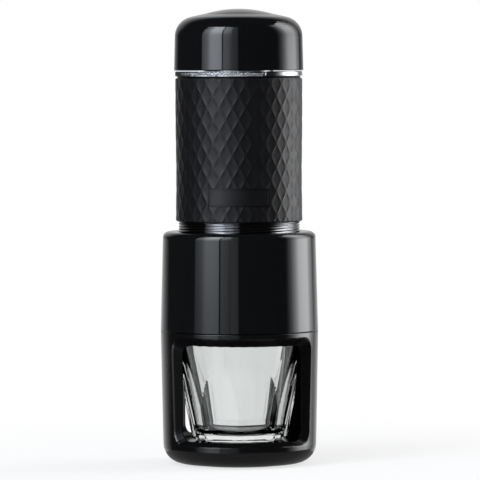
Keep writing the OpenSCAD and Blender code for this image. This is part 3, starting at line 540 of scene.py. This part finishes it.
# Moulded polypropylene: an even, slightly waxy grey.
grey_plastic, tree, shader = surface("grey_polypropylene", "#47494c", roughness=0.38, ior=1.49)
rough_and_bumped(tree, shader, rough=(0.3, 0.46), coarse=7.0, fine=0.5, height=0.01)
dress(grey_plastic, "divider_plate", "pump_barrel")

# Moulded copolyester: a smooth grey that lets some light through.
smoky_tank, tree, shader = surface("smoky_copolyester", "#54585c", roughness=0.16, ior=1.57)
shader.inputs["Transmission Weight"].default_value = 0.35
rough_and_bumped(tree, shader, rough=(0.1, 0.22), coarse=8.0, fine=1.5, height=0.002)
dress(smoky_tank, "tank_body")


# ---- Chrome neck --------------------------------------------------------------------------------
# The neck is a turned brass ring in smoked chrome, pressed on the tank. Its five-start thread
# climbs 6 mm a turn and runs up to the grip, so its upper ridges show between housing and grip.

LEAD = 6.0
STARTS = 5
THREAD_DEPTH = 0.35
THREAD_STEP = 0.12
NECK_IN = 25.1
NECK_STEPS = 240
CHAMFER = [(0.75, 0.0), (0.6, 0.1)]
THREAD_FROM = 0.7
neck_low, neck_high = (corner.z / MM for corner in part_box("threaded_neck"))
NECK_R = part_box("threaded_neck")[1].x / MM


def threaded(r, z, turn):
    """Cuts the thread's grooves in the neck's side: full depth in a groove, nothing on a crest."""
    if r != NECK_R:
        return r, z
    phase = (z - LEAD * turn / (2 * math.pi)) * STARTS / LEAD
    return r - (1 - (0.5 + 0.5 * math.cos(2 * math.pi * phase))) * THREAD_DEPTH, z


outline = [(NECK_IN, neck_high), (NECK_IN, neck_low)]
outline += [(NECK_R - drop, neck_low + up) for drop, up in CHAMFER]
outline += [(NECK_R, z) for z in ladder(neck_low + THREAD_FROM, neck_high, THREAD_STEP)]
neck = turned("neck_with_thread", outline, NECK_STEPS, threaded)
crease(neck, 50)

# Smoked chrome over brass: a dark mirror, faintly uneven from polishing.
smoked_chrome, tree, shader = surface("smoked_chrome", "#7a7b7e", roughness=0.08, metallic=1.0)
rough_and_bumped(tree, shader, rough=(0.05, 0.12), coarse=6.0, fine=0.8, height=0.0006)
neck.data.materials.append(smoked_chrome)
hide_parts("threaded_neck")
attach(neck, "tank")


# ---- Silicone grip ------------------------------------------------------------------------------
# The grip is a moulded silicone sleeve with a slight waist. Its surface is a lattice of diamonds,
# 30 round and 6 up, each a shallow dish between sharp ridges, and a plain framed panel low down.

grip_low, grip_high = (corner.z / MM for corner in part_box("grip_sleeve"))
GRIP_R, GRIP_IN = 29.3, 26.95
DISH = 0.2
# The lattice has two columns to a diamond's width and two rows to its height, each FINE faces across.
COLUMNS = 60
COLUMN = 360 / COLUMNS
ROW = 5.43
LATTICE_Z = grip_low + 3.7
LATTICE_ROWS = 12
FINE = 7
WAIST, WAIST_Z, WAIST_SPAN = 0.3, grip_low + 21, 18
PANEL_W, PANEL_H, PANEL_Z = 29.6, 8.3, grip_low + 11.6
FRAME_IN, FRAME_OUT = 0.9, 0.4
FIELD_SINK, FRAME_RISE, GROOVE_SINK = 0.15, 0.05, 0.3
WALL_STEP = 0.06
BEVEL = 0.7
RIM_SINK = 0.1
RIM = [(0.0, 1.05), (0.12, 0.6), (0.35, 0.2)]


def dish_radius(turn, z):
    """Radius of the grip, whose diamonds are dishes that steepen towards their ridges."""
    i = math.degrees(turn + math.radians(TURNED_LEFT)) * COLUMNS / 360
    j = (z - LATTICE_Z) / ROW
    side_a = (i + j) / 2 - round((i + j) / 2)
    side_b = (i - j) / 2 - round((i - j) / 2)
    return GRIP_R - DISH * (1 - abs(2 * side_a) ** 3) * (1 - abs(2 * side_b) ** 3)


def grip_radius(turn, z):
    """Radius of the grip with its panel: a groove, then a raised frame, then the field inside it."""
    across = abs((turn - FRONT_TURN + math.pi) % (2 * math.pi) - math.pi) * GRIP_R
    up = abs(z - PANEL_Z)
    if across < PANEL_W / 2 and up < PANEL_H / 2:
        edge = max(across - PANEL_W / 2, up - PANEL_H / 2)
        if edge < -FRAME_IN:
            return GRIP_R - FIELD_SINK
        return GRIP_R + FRAME_RISE if edge < -FRAME_OUT else GRIP_R - GROOVE_SINK
    return dish_radius(turn, z)


def on_ridge(turn, z):
    """Whether a point lies on one of the lattice's ridges."""
    return abs(dish_radius(turn, z) - GRIP_R) < 1e-4


def frame_lines(half):
    """Distances from the panel's middle to just before and after each edge of its frame."""
    return [side * (edge + step) for edge in (half - FRAME_IN, half - FRAME_OUT, half)
            for step in (-WALL_STEP, WALL_STEP) for side in (-1, 1)]


turns = {math.radians(COLUMN * i / FINE - TURNED_LEFT) % (2 * math.pi) for i in range(COLUMNS * FINE)}
turns |= {(FRONT_TURN + off / GRIP_R) % (2 * math.pi) for off in frame_lines(PANEL_W / 2)}
turns = sorted(turns)
rows = {LATTICE_Z + ROW * i / FINE for i in range(-FINE, LATTICE_ROWS * FINE)}
rows = {z for z in rows if grip_low + BEVEL < z < grip_high - BEVEL} | {grip_low + BEVEL, grip_high - BEVEL}
rows |= {PANEL_Z + off for off in frame_lines(PANEL_H / 2)}
rows = sorted(rows)
stack = ([(grip_low + up, drop) for up, drop in RIM] + [(z, 0.0) for z in rows]
         + [(grip_high - up, drop) for up, drop in reversed(RIM)])
verts, faces = [], []
for turn in turns:
    for z, drop in stack:
        r = grip_radius(turn, min(max(z, rows[0]), rows[-1]))
        if drop:
            r = min(r, GRIP_R - RIM_SINK - drop)
        r -= WAIST * math.exp(-((z - WAIST_Z) / WAIST_SPAN) ** 2)
        verts.append((r * math.cos(turn), r * math.sin(turn), z))
    for z in (grip_high, grip_low):
        verts.append((GRIP_IN * math.cos(turn), GRIP_IN * math.sin(turn), z))
# A quad is split along the ridge that crosses it, so that the ridges stay straight.
count = len(stack) + 2
last = len(stack) - 1
for i, turn in enumerate(turns):
    after = (i + 1) % len(turns)
    for k in range(count):
        n = (k + 1) % count
        a, b, c, d = i * count + k, after * count + k, after * count + n, i * count + n
        if k <= last and on_ridge(turn, stack[min(n, last)][0]) and on_ridge(turns[after], stack[k][0]):
            faces += [(a, b, d), (b, c, d)]
        else:
            faces += [(a, b, c), (a, c, d)]
grip = mesh_piece("silicone_grip", verts, faces)
crease(grip, 9)

# Silicone from a blasted mould: a soft, dusty black. Its grain is about 0.1 mm, drawn at 0.4 mm.
black_silicone, tree, shader = surface("matt_black_silicone", "#0e0e10", roughness=0.42, ior=1.36)
rough_and_bumped(tree, shader, rough=(0.36, 0.45), coarse=5.0, fine=0.4, height=0.006)
grip.data.materials.append(black_silicone)
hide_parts("grip_sleeve")
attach(grip, "tank")


# ---- Chrome collar ------------------------------------------------------------------------------
# The collar screws into the tank's top and is turned and chrome-plated. Two stretches of its band
# are knurled for the fingers, drawn coarser than a real knurl of about 1 mm so that it shows, and
# two are plain. Its inner step holds the plunger's bush.

collar_low, collar_high = (corner.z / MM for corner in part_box("top_collar"))
COLLAR_R = 29.4
BAND_LOW = collar_high - 2.25
BAND_EDGE = 0.3
BAND_STEP = 0.15
BAND_DEEP = 0.8
LEDGE_LOW, LEDGE_R = collar_high - 2.9, 28.2
BUSH_R, BUSH_SEAT_R, BUSH_SEAT_Z = 17.0, 18.8, collar_high - 1.5
SKIRT_IN, SKIRT_END_R, SKIRT_R, SKIRT_EDGE = 22.6, 24.7, 25.1, 0.4
SEAL_R, SEAL_LOW, SEAL_HIGH = 23.6, collar_low + 2.2, collar_low + 3.8
KNURLS = 96
FACES_A_KNURL = 8
KNURL_DEPTH = 0.5
KNURL_RISE = 1.1
SMOOTH_FROM, SMOOTH_TO = -68.0, -3.0


def is_plain(turn):
    """Whether a turn lies in one of the two stretches of the band that have no knurling."""
    return SMOOTH_FROM < math.degrees(turn) % 180 - 180 < SMOOTH_TO


def knurl(r, z, turn):
    """Crossing grooves cut in the collar's band."""
    if r < COLLAR_R - 0.01 or is_plain(turn):
        return r, z
    along, lean = KNURLS * turn / (2 * math.pi), (z - BAND_LOW) / KNURL_RISE
    points = [abs((along + way * lean) % 1.0 - 0.5) * 2 for way in (-1, 1)]
    return r - KNURL_DEPTH * (1 - min(points)), z


inner = [(BUSH_R, BUSH_SEAT_Z), (BUSH_R, LEDGE_LOW), (SKIRT_IN, LEDGE_LOW), (SKIRT_IN, collar_low)]
skirt = [(SKIRT_END_R, collar_low), (SKIRT_R, collar_low + SKIRT_EDGE), (SKIRT_R, SEAL_LOW),
         (SEAL_R, SEAL_LOW), (SEAL_R, SEAL_HIGH), (SKIRT_R, SEAL_HIGH), (SKIRT_R, LEDGE_LOW)]
band = [(LEDGE_R, LEDGE_LOW), (COLLAR_R - BAND_EDGE, BAND_LOW)]
band += [(COLLAR_R, z) for z in ladder(BAND_LOW + BAND_EDGE, collar_high - BAND_EDGE, BAND_STEP)]
top = [(COLLAR_R - BAND_EDGE, collar_high), (BUSH_SEAT_R, collar_high), (BUSH_SEAT_R, BUSH_SEAT_Z)]
collar = turned("knurled_collar", inner + skirt + band + top, FACES_A_KNURL * KNURLS, knurl)
crease(collar, 15)

# Chrome over a machined ring: bright, with the fine haze that the lathe leaves.
bright_chrome, tree, shader = surface("bright_chrome", "#b6b8bb", roughness=0.14, metallic=1.0)
rough_and_bumped(tree, shader, rough=(0.1, 0.18), coarse=6.0, fine=0.5, height=0.0012)
# On the knurling the plating is a little uneven, which makes it sparkle.
knurled_chrome, tree, shader = surface("knurled_chrome", "#b4b6b9", roughness=0.08, metallic=1.0)
rough_and_bumped(tree, shader, rough=(0.05, 0.12), coarse=1.0, fine=1.1, height=0.4)
collar.data.materials.append(bright_chrome)
collar.data.materials.append(knurled_chrome)
for face in collar.data.polygons:
    x, y, z = face.center
    on_band = math.hypot(x, y) > (COLLAR_R - BAND_DEEP) * MM and z > BAND_LOW * MM
    face.material_index = int(on_band and not is_plain(math.atan2(y, x)))
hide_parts("top_collar")
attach(collar, "tank")


# ---- Pump ---------------------------------------------------------------------------------------
# The pump's cylinder hangs in the tank. Its valves are a silicone band and a sprung steel ball,
# and a steel spring round the cylinder lifts the plunger.

# Clear silicone: a milky white that lets a little light through.
white_silicone, tree, shader = surface("clear_white_silicone", "#c9c9c4", roughness=0.45, ior=1.43)
shader.inputs["Transmission Weight"].default_value = 0.2
rough_and_bumped(tree, shader, rough=(0.4, 0.55), coarse=3.0, fine=0.4, height=0.005)
dress(white_silicone, "inlet_valve")

# Machined acetal: an even, slightly waxy white.
acetal, tree, shader = surface("white_acetal", "#e4e2da", roughness=0.35, ior=1.48)
rough_and_bumped(tree, shader, rough=(0.28, 0.42), coarse=4.0, fine=0.4, height=0.006)
dress(acetal, "piston_head", "valve_cage")

# Drawn spring wire: bright, with dark draw marks along it.
spring_steel, tree, shader = surface("drawn_spring_wire", "#aeb0b3", roughness=0.25, metallic=1.0)
rough_and_bumped(tree, shader, rough=(0.18, 0.34), coarse=0.8, fine=0.25, height=0.002)

CLOSED_TURNS = 1.0


def spring(name, r, wire, low, high, turns, per_turn=40, sides=10):
    """A compression spring of a wire radius, whose first and last turns are closed and ground flat."""
    steps = round(turns * per_turn)
    open_turns = turns - 2 * CLOSED_TURNS
    pitch = (high - low - 2 * wire - 4 * wire * CLOSED_TURNS) / open_turns
    verts, faces = [], []
    height = low + wire
    for i in range(steps + 1):
        turn = 2 * math.pi * i / per_turn
        done = i / per_turn
        climb = 2 * wire if min(done, turns - done) < CLOSED_TURNS else pitch
        for k in range(sides):
            around = 2 * math.pi * k / sides
            reach = r + wire * math.cos(around)
            z = min(max(height + wire * math.sin(around), low), high)
            verts.append((reach * math.cos(turn), reach * math.sin(turn), z))
        height += climb / per_turn
        if i:
            for k in range(sides):
                n = (k + 1) % sides
                faces.append(((i - 1) * sides + k, (i - 1) * sides + n, i * sides + n, i * sides + k))
    faces.append(tuple(reversed(range(sides))))
    faces.append(tuple(steps * sides + k for k in range(sides)))
    piece = mesh_piece(name, verts, faces)
    piece.data.materials.append(spring_steel)
    return piece


low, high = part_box("return_spring")
lift_spring = spring("return_spring_wire", r=12.3, wire=0.7, low=low.z / MM, high=high.z / MM, turns=13.0)
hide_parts("return_spring")
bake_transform(lift_spring)

low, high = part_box("valve_spring")
ball_spring = spring("valve_spring_wire", r=1.5, wire=0.2, low=low.z / MM, high=high.z / MM, turns=5.0)
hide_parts("valve_spring")
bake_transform(ball_spring)


# ---- Plunger and press cap ----------------------------------------------------------------------
# The plunger is a chrome-plated tube that telescopes out of the collar. The gloss black cap turns
# on its top, with a domed disc set in it, and both have the housing's polished ABS.

dress(bright_chrome, "plunger_tube")
